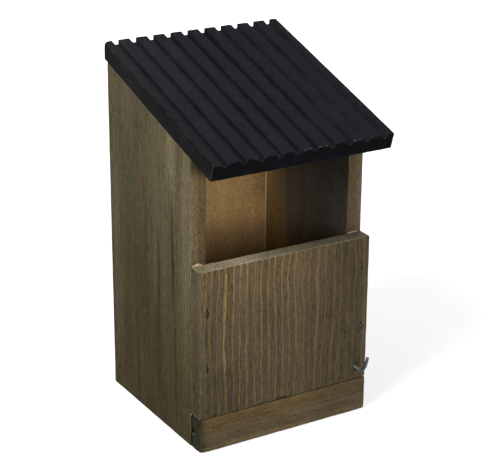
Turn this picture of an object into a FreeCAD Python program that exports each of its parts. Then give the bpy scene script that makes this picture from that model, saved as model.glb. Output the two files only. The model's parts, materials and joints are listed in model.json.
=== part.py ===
# Open-fronted nest box for robins: four stained boards, a grooved roof board and a base that
# slides out to the front for cleaning, held in by a turn hook.
# Millimetres. X is right, Y is towards the back, Z is up. The origin is the middle of the box's
# footprint, on the underside of the floor.
import FreeCAD, Part
import math
import os

from FreeCAD import Vector

# Box
box_width = 140.0
box_depth = 122.0  # the sides, from front edge to back edge
board = 12.0  # thickness of the sides, back, front panel and batten
front_height = 215.4  # the sides, at their front edge
roof_pitch = 17.2  # degrees, rising towards the back
arris = 1.0  # rounding of the front panel's, batten's and roof's worn edges

# Front
batten_height = 26.2
batten_seam = 0.5  # gap between the batten and the panel above it
panel_height = 111.7

# Floor, which slides on a tongue along each side
floor_thickness = 12.0
tongue_thickness = 6.0
tongue_groove_depth = 5.0
slide_play = 0.4  # clearance of the floor in the grooves and behind it
drain_diameter = 6.0
drain_inset = 28.0  # from the inside corners of the box

# Roof board, nailed on a little to the right of the middle
roof_thickness = 12.6
roof_front_overhang = 26.5
roof_back_overhang = 4.4
roof_left_overhang = 0.0
roof_right_overhang = 4.8
roof_groove_count = 10
roof_groove_width = 5.2
roof_groove_depth = 3.3
roof_left_ridge = 6.4  # ridge outside the first groove
roof_right_ridge = 6.2  # ridge outside the last groove

# Brads, flat wire nails with a chisel point
brad_length = 25.0
brad_width = 1.2
brad_gauge = 1.0
brad_head_width = 1.9
brad_head_height = 0.9
brad_point = 2.0
brad_sink = 0.5  # depth of the head below the wood's surface
panel_upper_brad_inset = {"left": 6.4, "right": 6.4}  # from the box's outer faces
panel_upper_brad_drop = {"left": 31.1, "right": 21.9}  # below the panel's top
panel_lower_brad_inset = {"left": 5.8, "right": 4.7}
panel_lower_brad_rise = {"left": 38.8, "right": 42.6}  # above the panel's bottom
back_brad_inset = 9.0  # from the sides' back edges
back_brad_from_bottom = 16.5
back_brad_from_top = 24.0
roof_brad_inset = 20.0  # from the sides' front and back edges
roof_back_brad_inset = 3.5  # from the back board's inner face
roof_back_brad_groove = 3  # counted in from each edge of the roof

# Dowels between batten and floor
dowel_diameter = 6.0
dowel_spacing = 70.0
dowel_in_batten = 8.0
dowel_in_floor = 12.0
glue_gap = 0.05

# Turn hook, bent from wire, with a wood screw thread
hook_wire = 2.4
hook_inset = 9.8  # from the box's right face
hook_rise = 10.3  # above the panel's lower edge
hook_reach = 12.0  # from the panel's face to the middle of the arm
hook_overlap = 1.4  # of the arm over the batten when it points down
hook_lean = 15.0  # degrees to the right of upright, at rest
hook_bend_radius = 6.0
hook_tip_round = 0.5
hook_screw_length = 20.0
hook_screw_core = 1.7
hook_thread_pitch = 1.25
hook_thread_turns = 12
hook_play = 0.08

# Hanger plate on the back
hanger_from_top = 47.4  # below the back board's top edge
hanger_width = 46.0
hanger_height = 22.0
hanger_thickness = 1.5
hanger_corner = 3.0
keyhole_diameter = 9.0
keyhole_slot_width = 4.6
keyhole_slot_rise = 7.0  # from the round hole's middle to the slot's rounded end
keyhole_pocket_margin = 2.5  # of the pocket behind the keyhole, all round
keyhole_pocket_depth = 7.0
hanger_screw_spacing = 32.0
hanger_screw_diameter = 3.0
hanger_screw_length = 10.0
hanger_screw_point = 3.0
hanger_screw_head_diameter = 5.6
hanger_screw_head_height = 1.7
hanger_screw_head_round = 0.8
screw_recess_width = 0.9
screw_recess_length = 3.2
screw_recess_depth = 0.9
screw_clearance = 0.05

# Directions
X = Vector(1, 0, 0)
Y = Vector(0, 1, 0)
Z = Vector(0, 0, 1)
pitch = math.radians(roof_pitch)
roof_normal = Vector(0, -math.sin(pitch), math.cos(pitch))
uphill = roof_normal.cross(X)

# Places that follow from the sizes
outer_x = box_width / 2
inner_x = outer_x - board
front_y = -box_depth / 2
back_y = box_depth / 2
panel_face_y = front_y - board
inner_back_y = back_y - board
panel_bottom = batten_height + batten_seam
panel_top = panel_bottom + panel_height
roof_left = -outer_x - roof_left_overhang
roof_right = outer_x + roof_right_overhang
roof_front_y = front_y - roof_front_overhang
roof_back_y = back_y + roof_back_overhang
groove_floor = roof_thickness - roof_groove_depth
tongue_bottom = floor_thickness - tongue_thickness
overcut = 1.0  # how far a cutting shape stands out of the surface it cuts
same_place = 0.001  # distance at which two places count as one


def block(x, y, z):
    """Box between two values on each axis."""
    return Part.makeBox(x[1] - x[0], y[1] - y[0], z[1] - z[0], Vector(x[0], y[0], z[0]))


def prism(points, along):
    """Solid made by moving a flat outline along a vector."""
    outline = Part.makePolygon(points + points[:1])
    return Part.Face(outline).extrude(along)


def underside(y):
    """Height of the roof's underside, and of the sides' top edges."""
    return front_height + (y - front_y) * math.tan(pitch)


def soften(solid, worn):
    """Solid with its worn edges rounded, told by the edge's middle."""
    return solid.makeFillet(arris, [edge for edge in solid.Edges if worn(edge.CenterOfMass)])


def cut_all(solid, tools):
    """Solid with every tool cut out of it."""
    for tool in tools:
        solid = solid.cut(tool)
    return solid


def save(name, solids):
    """One file for one named piece, or for a set of like fasteners."""
    Part.makeCompound(solids).exportStep(f"parts/{name}.step")


def brad(entry, inward, wide):
    """Brad driven in at a point of the surface, and the hole it leaves."""
    across = inward.cross(wide)
    half_head = brad_head_width / 2
    half_gauge = brad_gauge / 2
    half_width = brad_width / 2
    shoulder = brad_sink + brad_length - brad_point

    def at(u, v, depth):
        return entry + wide * u + across * v + inward * depth

    def bar(half, start, end):
        corners = [(-half, -half_gauge), (half, -half_gauge), (half, half_gauge), (-half, half_gauge)]
        return prism([at(u, v, start) for u, v in corners], inward * (end - start))

    chisel = prism(
        [at(-half_width, -half_gauge, shoulder),
         at(-half_width, half_gauge, shoulder),
         at(-half_width, 0, shoulder + brad_point)],
        wide * brad_width)
    nail = bar(half_head, brad_sink, brad_sink + brad_head_height)
    nail = nail.fuse([bar(half_width, brad_sink, shoulder), chisel]).removeSplitter()
    hole = nail.fuse(bar(half_head, -overcut, brad_sink))
    return nail, hole


def front_panel_brads():
    """Two brads at each end of the panel, into the sides' front edges."""
    places = []
    for side, sign in (("left", -1), ("right", 1)):
        upper_x = sign * (outer_x - panel_upper_brad_inset[side])
        lower_x = sign * (outer_x - panel_lower_brad_inset[side])
        places.append(Vector(upper_x, panel_face_y, panel_top - panel_upper_brad_drop[side]))
        places.append(Vector(lower_x, panel_face_y, panel_bottom + panel_lower_brad_rise[side]))
    return [brad(place, Y, Z) for place in places]


def back_board_brads():
    """Three brads through each side into the back board's edges."""
    lowest = back_brad_from_bottom
    highest = underside(inner_back_y) - back_brad_from_top
    places = []
    for sign in (-1, 1):
        for height in (lowest, (lowest + highest) / 2, highest):
            entry = Vector(sign * outer_x, back_y - back_brad_inset, height)
            places.append(brad(entry, X * -sign, Z))
    return places


def roof_grooves():
    """Left and right edge of each groove in the roof, from left to right."""
    first = roof_left + roof_left_ridge
    last = roof_right - roof_right_ridge - roof_groove_width
    step = (last - first) / (roof_groove_count - 1)
    starts = [first + step * index for index in range(roof_groove_count)]
    return [(start, start + roof_groove_width) for start in starts]


def roof_brads():
    """Brads in the groove floors: along both sides, and into the back board."""
    grooves = roof_grooves()

    def driven(x, y):
        seat = Vector(x, y, underside(y))
        return brad(seat + roof_normal * groove_floor, -roof_normal, uphill)

    nails = []
    for groove, edge in ((grooves[0], (-outer_x, -inner_x)), (grooves[-1], (inner_x, outer_x))):
        x = (max(groove[0], edge[0]) + min(groove[1], edge[1])) / 2
        for y in (front_y + roof_brad_inset, (front_y + back_y) / 2, back_y - roof_brad_inset):
            nails.append(driven(x, y))
    for groove in (grooves[roof_back_brad_groove - 1], grooves[-roof_back_brad_groove]):
        nails.append(driven(sum(groove) / 2, inner_back_y + roof_back_brad_inset))
    return nails


def dowels(gap):
    """Dowels across the joint of batten and floor, or their holes with a gap all round."""
    shapes = []
    for sign in (-1, 1):
        base = Vector(sign * dowel_spacing / 2, front_y - dowel_in_batten - gap, floor_thickness / 2)
        length = dowel_in_batten + dowel_in_floor + 2 * gap
        shapes.append(Part.makeCylinder(dowel_diameter / 2 + gap, length, base, Y))
    return shapes


def side(sign, holes):
    """Side board with its sloping top, and the groove that the floor's tongue runs in."""
    start = min(sign * inner_x, sign * outer_x)
    outline = [
        Vector(start, front_y, 0),
        Vector(start, back_y, 0),
        Vector(start, back_y, underside(back_y)),
        Vector(start, front_y, underside(front_y)),
    ]
    groove_x = sorted((sign * (inner_x - overcut), sign * (inner_x + tongue_groove_depth)))
    groove = block(
        groove_x,
        (front_y - overcut, inner_back_y),
        (tongue_bottom, floor_thickness + slide_play))
    return cut_all(prism(outline, X * board), [groove] + holes)


def back_board(holes):
    """Board between the sides, bevelled to the roof, with a pocket behind the keyhole."""
    outline = [
        Vector(-inner_x, inner_back_y, 0),
        Vector(-inner_x, back_y, 0),
        Vector(-inner_x, back_y, underside(back_y)),
        Vector(-inner_x, inner_back_y, underside(inner_back_y)),
    ]
    return cut_all(prism(outline, X * (2 * inner_x)), holes)


def roof_board(holes):
    """Board square at its front end and upright at its back end, with grooves down the slope."""
    front = Vector(roof_left, roof_front_y, underside(roof_front_y))
    back = Vector(roof_left, roof_back_y, underside(roof_back_y))
    upright = Z * (roof_thickness / math.cos(pitch))
    outline = [front, back, back + upright, front + roof_normal * roof_thickness]
    roof = soften(
        prism(outline, X * (roof_right - roof_left)),
        lambda middle: abs((middle - front).dot(uphill)) < same_place)
    lead = uphill * (roof_thickness + overcut)
    low = front + roof_normal * groove_floor - lead
    high = back + roof_normal * groove_floor + lead
    rise = roof_normal * (roof_groove_depth + overcut)
    tools = []
    for left, right in roof_grooves():
        profile = [low, high, high + rise, low + rise]
        tool = prism(profile, X * (right - left))
        tool.translate(X * (left - roof_left))
        tools.append(tool)
    return cut_all(roof, tools + holes)


def front_panel(holes):
    """Low board across the sides' front edges."""
    panel = block((-outer_x, outer_x), (panel_face_y, front_y), (panel_bottom, panel_top))
    panel = soften(
        panel,
        lambda middle: middle.y < panel_face_y + same_place or middle.z > panel_top - same_place)
    return cut_all(panel, holes)


def base_batten():
    """Strip that closes the front below the panel."""
    batten = block((-outer_x, outer_x), (panel_face_y, front_y), (0, batten_height))
    batten = soften(batten, lambda middle: middle.y < panel_face_y + same_place)
    return cut_all(batten, dowels(glue_gap))


def floor_board():
    """Floor with a tongue along each side and four drain holes."""
    narrow = inner_x - slide_play
    wide = inner_x + tongue_groove_depth - slide_play
    half = [(narrow, 0), (narrow, tongue_bottom), (wide, tongue_bottom), (wide, floor_thickness)]
    section = half + [(-x, z) for x, z in reversed(half)]
    length = inner_back_y - slide_play - front_y
    plate = prism([Vector(x, front_y, z) for x, z in section], Y * length)
    drains = []
    for x in (-inner_x + drain_inset, inner_x - drain_inset):
        for y in (front_y + drain_inset, inner_back_y - drain_inset):
            base = Vector(x, y, -overcut)
            drains.append(Part.makeCylinder(drain_diameter / 2, floor_thickness + 2 * overcut, base, Z))
    return cut_all(plate, dowels(glue_gap) + drains)


def hook_axis(y):
    """Point on the line that the hook turns about."""
    return Vector(outer_x - hook_inset, y, panel_bottom + hook_rise)


def turn_hook():
    """Wire hook: a straight shank, a bend and an arm, with a screw thread in the wood."""
    radius = hook_wire / 2
    lean = math.radians(hook_lean)
    up = Vector(math.sin(lean), 0, math.cos(lean))
    arm_length = hook_rise + batten_seam + hook_overlap
    corner = hook_axis(panel_face_y - hook_reach)
    bend_start = corner + Y * hook_bend_radius
    bend_end = corner + up * hook_bend_radius
    bend_middle = corner + (Y + up) * (hook_bend_radius * (1 - math.sqrt(0.5)))
    path = Part.Wire([
        Part.LineSegment(hook_axis(panel_face_y), bend_start).toShape(),
        Part.Arc(bend_start, bend_middle, bend_end).toShape(),
        Part.LineSegment(bend_end, corner + up * arm_length).toShape(),
    ])
    section = Part.Wire(Part.makeCircle(radius, hook_axis(panel_face_y), Y))
    wire = path.makePipeShell([section], True, False)
    tip = [edge for edge in wire.Edges
           if edge.isClosed() and (edge.CenterOfMass - corner - up * arm_length).Length < radius]
    wire = wire.makeFillet(hook_tip_round, tip)
    return wire.fuse(hook_thread()).removeSplitter()


def hook_thread():
    """Threaded end of the hook, as rings on a tapering core."""
    crest = hook_wire / 2
    core = hook_screw_core / 2
    threaded = hook_thread_pitch * hook_thread_turns
    plain_end = panel_face_y + hook_screw_length - threaded - hook_wire
    points = [(0, panel_face_y), (crest, panel_face_y), (crest, plain_end), (core, plain_end)]
    quarter = hook_thread_pitch / 4
    for turn in range(hook_thread_turns):
        ring = plain_end + hook_thread_pitch * turn
        points.append((core, ring + quarter))
        points.append((crest, ring + 2 * quarter))
        points.append((core, ring + 3 * quarter))
    points.append((core, plain_end + threaded))
    points.append((0, panel_face_y + hook_screw_length))
    start = hook_axis(0)
    outline = Part.makePolygon([start + X * r + Y * y for r, y in points + points[:1]])
    return Part.Face(outline).revolve(start, Y, 360)


def hook_hole():
    """Hole for the hook's shank, through the panel and into the right side's edge."""
    length = overcut + hook_screw_length + hook_play
    return Part.makeCylinder(hook_wire / 2 + hook_play, length, hook_axis(panel_face_y - overcut), Y)


def hanger_middle(y):
    """Middle of the hanger plate, and of the keyhole's round part."""
    return Vector(0, y, underside(back_y) - hanger_from_top)


def keyhole(start_y, length, margin):
    """Keyhole through the plate, or with a margin the pocket behind it."""
    low = hanger_middle(start_y)
    high = low + Z * keyhole_slot_rise
    half_slot = keyhole_slot_width / 2 + margin
    slot = block(
        (-half_slot, half_slot),
        (start_y, start_y + length),
        (low.z, high.z))
    round_part = Part.makeCylinder(keyhole_diameter / 2 + margin, length, low, Y)
    slot_end = Part.makeCylinder(half_slot, length, high, Y)
    return round_part.fuse([slot, slot_end]).removeSplitter()


def keyhole_pocket():
    """Room in the back board for the head of the wall screw."""
    depth = keyhole_pocket_depth
    return keyhole(back_y - depth, depth + overcut, keyhole_pocket_margin)


def hanger_screw_places():
    """Middle of each hanger screw, on the plate's outer face."""
    middle = hanger_middle(back_y + hanger_thickness)
    return [middle + X * (sign * hanger_screw_spacing / 2) for sign in (-1, 1)]


def hanger_screw_holes():
    """Holes for the hanger screws in the plate and the back board."""
    radius = hanger_screw_diameter / 2 + screw_clearance
    length = hanger_screw_length + screw_clearance
    return [Part.makeCylinder(radius, length, place, -Y) for place in hanger_screw_places()]


def hanger_plate():
    """Flat plate with rounded corners and a keyhole."""
    middle = hanger_middle(back_y)
    plate = block(
        (-hanger_width / 2, hanger_width / 2),
        (back_y, back_y + hanger_thickness),
        (middle.z - hanger_height / 2, middle.z + hanger_height / 2))
    corners = [edge for edge in plate.Edges if abs(edge.tangentAt(edge.FirstParameter).y) > 0.5]
    plate = plate.makeFillet(hanger_corner, corners)
    opening = keyhole(back_y - overcut, hanger_thickness + 2 * overcut, 0)
    return cut_all(plate, [opening] + hanger_screw_holes())


def hanger_screws():
    """Pan head wood screws with a cross recess."""
    screws = []
    shank_length = hanger_screw_length - hanger_screw_point
    radius = hanger_screw_diameter / 2
    for place in hanger_screw_places():
        head = Part.makeCylinder(hanger_screw_head_diameter / 2, hanger_screw_head_height, place, Y)
        rim = [edge for edge in head.Edges
               if edge.isClosed() and edge.CenterOfMass.y > place.y + hanger_screw_head_height / 2]
        head = head.makeFillet(hanger_screw_head_round, rim)
        shank = Part.makeCylinder(radius, shank_length, place, -Y)
        point = Part.makeCone(radius, 0, hanger_screw_point, place - Y * shank_length, -Y)
        top = place.y + hanger_screw_head_height
        recess = []
        for long_x in (True, False):
            half_x = (screw_recess_length if long_x else screw_recess_width) / 2
            half_z = (screw_recess_width if long_x else screw_recess_length) / 2
            recess.append(block(
                (place.x - half_x, place.x + half_x),
                (top - screw_recess_depth, top + overcut),
                (place.z - half_z, place.z + half_z)))
        screws.append(cut_all(head.fuse([shank, point]).removeSplitter(), recess))
    return screws


def build():
    os.makedirs("parts", exist_ok=True)
    panel_nails = front_panel_brads()
    back_nails = back_board_brads()
    roof_nails = roof_brads()
    panel_holes = [hole for nail, hole in panel_nails]
    back_holes = [hole for nail, hole in back_nails]
    roof_holes = [hole for nail, hole in roof_nails]
    side_holes = panel_holes + back_holes + roof_holes

    save("left_side", [side(-1, side_holes)])
    save("right_side", [side(1, side_holes + [hook_hole()])])
    save("back_board", [back_board(back_holes + roof_holes + [keyhole_pocket()] + hanger_screw_holes())])
    save("roof_board", [roof_board(roof_holes)])
    save("front_panel", [front_panel(panel_holes + [hook_hole()])])
    save("floor_board", [floor_board()])
    save("base_batten", [base_batten()])
    save("batten_dowels", dowels(0))
    save("turn_hook", [turn_hook()])
    save("hanger_plate", [hanger_plate()])
    save("hanger_screws", hanger_screws())
    save("front_panel_brads", [nail for nail, hole in panel_nails])
    save("back_board_brads", [nail for nail, hole in back_nails])
    save("roof_brads", [nail for nail, hole in roof_nails])


build()
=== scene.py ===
import json
import math

import bpy
from mathutils import Matrix, Vector, noise


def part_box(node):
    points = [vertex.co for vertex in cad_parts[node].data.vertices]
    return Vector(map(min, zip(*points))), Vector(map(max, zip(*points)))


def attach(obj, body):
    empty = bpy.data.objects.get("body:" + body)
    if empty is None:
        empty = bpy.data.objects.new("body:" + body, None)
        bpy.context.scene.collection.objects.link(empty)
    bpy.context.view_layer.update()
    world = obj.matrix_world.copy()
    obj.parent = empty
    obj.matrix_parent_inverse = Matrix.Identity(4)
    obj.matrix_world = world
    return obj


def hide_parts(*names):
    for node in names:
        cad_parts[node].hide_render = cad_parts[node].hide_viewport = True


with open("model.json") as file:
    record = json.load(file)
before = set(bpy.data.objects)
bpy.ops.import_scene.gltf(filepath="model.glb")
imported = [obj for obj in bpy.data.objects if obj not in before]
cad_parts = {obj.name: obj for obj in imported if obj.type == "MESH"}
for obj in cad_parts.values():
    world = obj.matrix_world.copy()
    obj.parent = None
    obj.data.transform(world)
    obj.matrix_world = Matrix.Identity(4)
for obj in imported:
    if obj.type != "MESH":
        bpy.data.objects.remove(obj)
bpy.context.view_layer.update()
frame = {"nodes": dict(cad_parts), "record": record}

# Units: shapes are worked out in millimetres, in the frame's own axes, and stored in metres.
MM = 0.001

# Sizes that the frame's boxes don't give
ROOF_PITCH = math.radians(17.2)
ROOF_FRONT_OVERHANG = 26.5
ROOF_THICKNESS = 12.6
GROOVE_COUNT = 10
GROOVE_WIDTH = 5.2
GROOVE_DEPTH = 3.3
LEFT_RIDGE = 6.4
RIGHT_RIDGE = 6.2
TONGUE_BOTTOM = 6.0
TONGUE_TOP = 12.4
TONGUE_DEPTH = 5.0
HOOK_WIRE = 2.3
HOOK_REACH = 12.0
HOOK_ARM = 12.2
HOOK_LEAN = math.radians(15.0)
HOOK_BEND = 6.0
HOOK_SCREW = 20.0
HOOK_THREAD_PITCH = 1.25
HOOK_THREAD_TURNS = 12
NAIL_REACH = 4.0
DENT_DEPTH = 0.75
DENT_REACH = 1.4
DENT_STAIN = 1.3
DENT_STAIN_REACH = 1.9
FOOT_TRIM = 2.2  # off the sides' front edges, behind the batten
THICK_END = 6.5  # length of the batten's thicker ends
NOTCH_HEIGHT = 14.0
NOTCH_FROM_BACK = 2.8
LIGHT_SPECK_Y = -11.3
LIGHT_SPECK_Z = 197.9

# Marks in the wear_and_shade attribute for the roof's grooves: painted shade at the foot of each wall,
# painted light on each floor
GROOVE_FOOT_SHADE = -1.0
GROOVE_FLOOR_LIGHT = -0.2

# Floor: its drop below the object, and its glow near the object and far from it
FLOOR_DROP = 0.2
GLOW_NEAR = 250.0
GLOW_FAR = 1300.0
NEAR_GLOW = 0.5
FAR_GLOW = 0.8

# The photograph's camera
CAMERA_PLACE = Vector((-547.6, -925.3, 545.8))
CAMERA_AIM = Vector((10.9, -4.6, 128.75))
CAMERA_ROLL = math.radians(0.45)
CAMERA_LENS = 113.2
CAMERA_SENSOR = 36.0

# Spacing of the boards' meshes
COARSE_STEP = 3.0
FINE_STEP = 1.6
ARRIS_STATIONS = (0.25, 0.6, 1.1, 1.8)
DENT_STATIONS = (0.0, 0.45, 0.9, 1.5, 2.3)
RIDGE_STATIONS = (-0.9, -0.35, 0.35, 0.9)
STEP_GAP = 0.06
CRUMB_STATIONS = (-1.0, -0.55, 0.0, 0.55, 1.0)
SHARP_ANGLE = math.radians(40.0)


def node_box(name):
    """Lowest and highest corner of a CAD node, in millimetres."""
    low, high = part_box(name)
    return Vector(low) / MM, Vector(high) / MM


side_low, side_high = node_box("left_side")
right_low, right_high = node_box("right_side")
panel_low, panel_high = node_box("front_panel")
batten_low, batten_high = node_box("base_batten")
roof_low, roof_high = node_box("roof_board")
roof_middle = (roof_low.x + roof_high.x) / 2
roof_half_width = (roof_high.x - roof_low.x) / 2
back_low, back_high = node_box("back_board")


def nail_places(node, across, up):
    """Middle of each nail of a CAD node, on two of the axes, in millimetres."""
    nails = []
    for vertex in frame["nodes"][node].data.vertices:
        place = vertex.co / MM
        for nail in nails:
            if max(abs(place[across] - nail[0][across]), abs(place[up] - nail[0][up])) < NAIL_REACH:
                nail.append(place)
                break
        else:
            nails.append([place])
    return [[sum(place[axis] for place in nail) / len(nail) for axis in (across, up)] for nail in nails]


panel_brads = nail_places("front_panel_brads", 0, 2)
shown_side_brad = min(nail_places("back_board_brads", 1, 2), key=lambda brad: brad[1])
joints = frame["record"]["behaviour"]["joints"]
hook_joint = next(joint for joint in joints if joint["name"] == "hook_turn")
hook_place = Vector(hook_joint["pos_m"]) / MM


def roof_underside(y):
    """Height of the roof's underside over the sides' top edges."""
    return side_high.z - (side_high.y - y) * math.tan(ROOF_PITCH)


# Mesh helpers

def stations(low, high, step=COARSE_STEP, close=(), steps=()):
    """Places along one axis of a board: even, closer at both ends and at dents, doubled at steps."""
    places = [low, high]
    count = math.ceil((high - low) / step)
    places += [low + (high - low) * index / count for index in range(1, count)]
    for distance in ARRIS_STATIONS:
        places += [low + distance, high - distance]
    for place in close:
        for distance in DENT_STATIONS:
            places += [place - distance, place + distance]
    for place in steps:
        places += [place - STEP_GAP, place + STEP_GAP]
    places = sorted(place for place in places if low <= place <= high)
    kept = [places[0]]
    for place in places[1:]:
        if place - kept[-1] > STEP_GAP:
            kept.append(place)
    return kept


def lattice(xs, ys, zs):
    """Closed box with a vertex wherever the stations of two axes meet on its surface."""
    axes = (xs, ys, zs)
    last = [len(axis) - 1 for axis in axes]
    index = {}
    points = []
    faces = []

    def vertex(key):
        if key not in index:
            index[key] = len(points)
            points.append(Vector(axes[axis][key[axis]] for axis in range(3)))
        return index[key]

    for axis in range(3):
        across, up = (axis + 1) % 3, (axis + 2) % 3
        for end in (0, last[axis]):
            for i in range(last[across]):
                for j in range(last[up]):
                    corners = []
                    for a, b in ((i, j), (i + 1, j), (i + 1, j + 1), (i, j + 1)):
                        key = [0, 0, 0]
                        key[axis], key[across], key[up] = end, a, b
                        corners.append(vertex(tuple(key)))
                    faces.append(corners if end else corners[::-1])
    return points, faces


def soften(point, low, high, radius):
    """Point of a box's surface, moved onto the box with rounded arrises."""
    core = Vector(min(max(point[n], low[n] + radius), high[n] - radius) for n in range(3))
    reach = point - core
    if reach.length <= radius:
        return point.copy()
    return core + reach.normalized() * radius


def edge_distance(point, low, high):
    """Distance from a point on a box's surface to the box's nearest arris."""
    nearest = sorted(min(point[n] - low[n], high[n] - point[n]) for n in range(3))
    return nearest[1]


def fade(distance, reach):
    """1 at no distance, falling smoothly to 0 at the reach."""
    t = min(max(distance / reach, 0.0), 1.0)
    return 1.0 - t * t * (3.0 - 2.0 * t)


def rough(point, wavelength, seed=0.0):
    """Smooth noise between about -1 and 1."""
    return noise.noise(point / wavelength + Vector((seed, seed * 0.7, -seed)))


def make_piece(name, points, faces, material, body, nodes=(), wear_and_shade=None):
    """Mesh object that rides on a body and stands for its CAD nodes.

    The wear_and_shade attribute is above 0 where the surface is rubbed pale, and below 0 where it is stained
    dark or painted with shade or, on the roof, lies in a groove, whose floor gets painted light and the foot
    of whose walls gets painted shade."""
    mesh = bpy.data.meshes.new(name)
    mesh.from_pydata([point * MM for point in points], [], faces)
    mesh.shade_smooth()
    mesh.set_sharp_from_angle(angle=SHARP_ANGLE)
    attribute = mesh.attributes.new("wear_and_shade", "FLOAT", "POINT")
    attribute.data.foreach_set("value", wear_and_shade or [0.0] * len(points))
    mesh.materials.append(material)
    piece = bpy.data.objects.new(name, mesh)
    bpy.context.collection.objects.link(piece)
    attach(piece, body)
    if nodes:
        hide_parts(*nodes)


# Materials

class Shader:
    """One material's node tree, built with short calls that return output sockets."""

    def __init__(self, name):
        self.material = bpy.data.materials.new(name)
        self.material.use_nodes = True
        self.tree = self.material.node_tree
        self.surface = self.tree.nodes["Principled BSDF"]

    def node(self, kind, inputs=(), **settings):
        made = self.tree.nodes.new(kind)
        for key, value in settings.items():
            setattr(made, key, value)
        for key, value in dict(inputs).items():
            if isinstance(value, bpy.types.NodeSocket):
                self.tree.links.new(value, made.inputs[key])
            else:
                made.inputs[key].default_value = value
        return made

    def link(self, value, name):
        self.tree.links.new(value, self.surface.inputs[name])

    def math(self, operation, first, second=0.0):
        return self.node("ShaderNodeMath", {0: first, 1: second}, operation=operation).outputs[0]

    def product(self, first, *others):
        for other in others:
            first = self.math("MULTIPLY", first, other)
        return first

    def vector(self, operation, first, second):
        return self.node("ShaderNodeVectorMath", {0: first, 1: second}, operation=operation).outputs[0]

    def split(self, vector):
        return self.node("ShaderNodeSeparateXYZ", {0: vector}).outputs

    def smooth(self, value, start, end, low=0.0, high=1.0):
        made = self.node(
            "ShaderNodeMapRange",
            {"Value": value, "From Min": start, "From Max": end, "To Min": low, "To Max": high},
            interpolation_type="SMOOTHSTEP")
        return made.outputs["Result"]

    def noise(self, place, scale, detail=2.0, output="Fac"):
        """Noise over places in millimetres; scale is the size of a feature along each axis."""
        stretched = self.vector("MULTIPLY", place, [1.0 / size for size in scale])
        made = self.node("ShaderNodeTexNoise", {"Vector": stretched, "Scale": 1.0, "Detail": detail})
        return made.outputs[output]

    def blend(self, *parts):
        """0.5, plus the weighted distance of each noise from its own middle."""
        total = 0.5
        for value, weight in parts:
            total = self.math("ADD", total, self.math("MULTIPLY", self.math("SUBTRACT", value, 0.5), weight))
        return total

    def mix(self, factor, first, second, blend="MIX"):
        made = self.node("ShaderNodeMix", {"Factor": factor}, data_type="RGBA", blend_type=blend)
        for socket, value in ((made.inputs[6], first), (made.inputs[7], second)):
            if isinstance(value, bpy.types.NodeSocket):
                self.tree.links.new(value, socket)
            else:
                socket.default_value = (*value, 1.0)
        return made.outputs[2]

    def place(self, order):
        """Place on the object in millimetres and its normal, with the axes in the order given."""
        coordinates = self.node("ShaderNodeTexCoord")
        scaled = self.node(
            "ShaderNodeVectorMath", {0: coordinates.outputs["Object"], "Scale": 1.0 / MM}, operation="SCALE")
        return self.reorder(scaled.outputs[0], order), self.reorder(coordinates.outputs["Normal"], order)

    def reorder(self, vector, order):
        parts = [self.split(vector)["xyz".index(letter)] for letter in order]
        return self.node("ShaderNodeCombineXYZ", dict(enumerate(parts))).outputs[0]

    def wear_and_shade(self):
        return self.node("ShaderNodeAttribute", attribute_name="wear_and_shade").outputs["Fac"]

    def bump(self, height, distance, strength):
        inputs = {"Height": height, "Distance": distance * MM, "Strength": strength}
        self.link(self.node("ShaderNodeBump", inputs).outputs[0], "Normal")

    def finish(self, roughness, specular, metallic=0.0):
        self.surface.inputs["Roughness"].default_value = roughness
        self.surface.inputs["Specular IOR Level"].default_value = specular
        self.surface.inputs["Metallic"].default_value = metallic
        return self.material


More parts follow.
